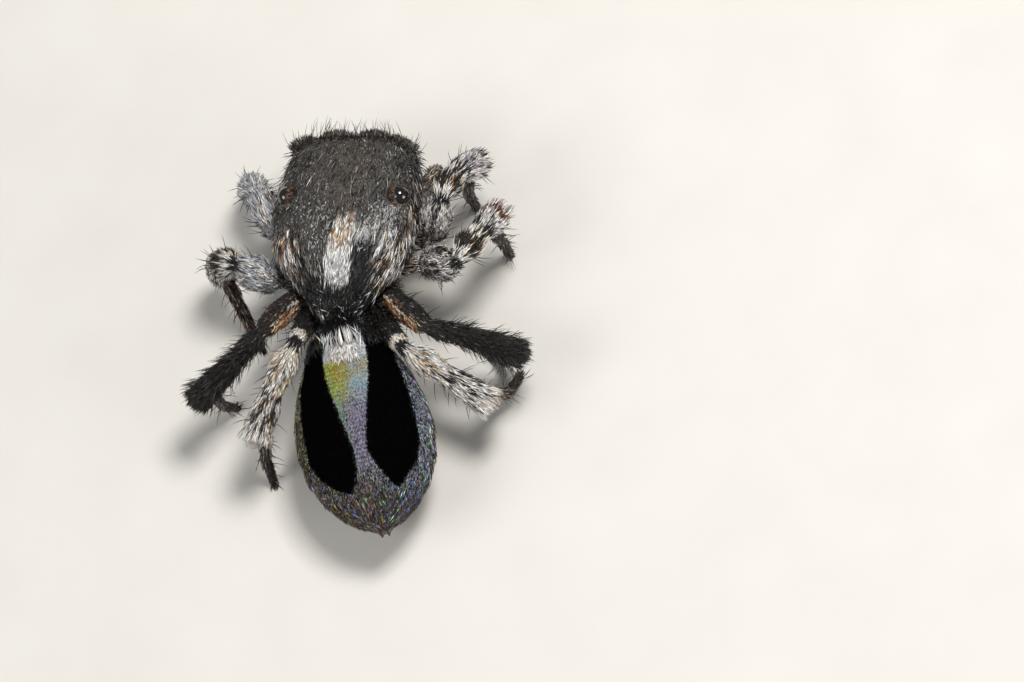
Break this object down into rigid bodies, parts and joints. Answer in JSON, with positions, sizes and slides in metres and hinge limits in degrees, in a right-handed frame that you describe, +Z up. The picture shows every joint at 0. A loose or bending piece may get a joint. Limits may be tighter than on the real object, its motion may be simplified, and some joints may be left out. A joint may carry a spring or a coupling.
{
  "type": "peacock spider",
  "caption": "Life-size male peacock spider standing with folded pale front legs, black bristly third legs held out behind and an oval abdomen with two black spots.",
  "frame": {"origin": "on the floor under the middle of the bounding box", "axes": "+Z up, the head looks along -Y, +X is the spider's left side"},
  "size_m": [0.0042, 0.0048, 0.0015],
  "materials": {
    "dark_scales": "short charcoal scales and hairs with a faint glitter",
    "cuticle": "bare dark brown shell, satin",
    "pale_coat": "grey white hairs with black and brown bands",
    "black_coat": "dense black hairs, brush-like towards the tip",
    "lens": "glossy black eye lens",
    "sheen_scales": "black velvet spots between scales that shine gold, green, blue and violet"
  },
  "bodies": {
    "root": {"carapace": "dark_scales", "sternum": "cuticle", "mouth_plates": "cuticle", "pedicel": "cuticle", "abdomen": "sheen_scales", "spinnerets": "cuticle", "eye_front_middle_right": "lens", "eye_front_middle_left": "lens", "eye_front_side_right": "lens", "eye_front_side_left": "lens", "eye_rear_middle_right": "lens", "eye_rear_middle_left": "lens", "eye_rear_side_right": "lens", "eye_rear_side_left": "lens", "chelicera_right": "cuticle", "palp_right": "pale_coat", "chelicera_left": "cuticle", "palp_left": "pale_coat", "coxa_right_1": "pale_coat", "femur_right_1": "pale_coat", "shin_right_1": "pale_coat", "foot_right_1": "pale_coat", "coxa_right_2": "pale_coat", "femur_right_2": "pale_coat", "shin_right_2": "pale_coat", "foot_right_2": "pale_coat", "coxa_right_3": "black_coat", "femur_right_3": "black_coat", "shin_right_3": "black_coat", "foot_right_3": "pale_coat", "coxa_right_4": "pale_coat", "femur_right_4": "pale_coat", "shin_right_4": "pale_coat", "foot_right_4": "pale_coat", "coxa_left_1": "pale_coat", "femur_left_1": "pale_coat", "shin_left_1": "pale_coat", "foot_left_1": "pale_coat", "coxa_left_2": "pale_coat", "femur_left_2": "pale_coat", "shin_left_2": "pale_coat", "foot_left_2": "pale_coat", "coxa_left_3": "black_coat", "femur_left_3": "black_coat", "shin_left_3": "black_coat", "foot_left_3": "pale_coat", "coxa_left_4": "pale_coat", "femur_left_4": "pale_coat", "shin_left_4": "pale_coat", "foot_left_4": "pale_coat"}
  },
  "joints": []
}
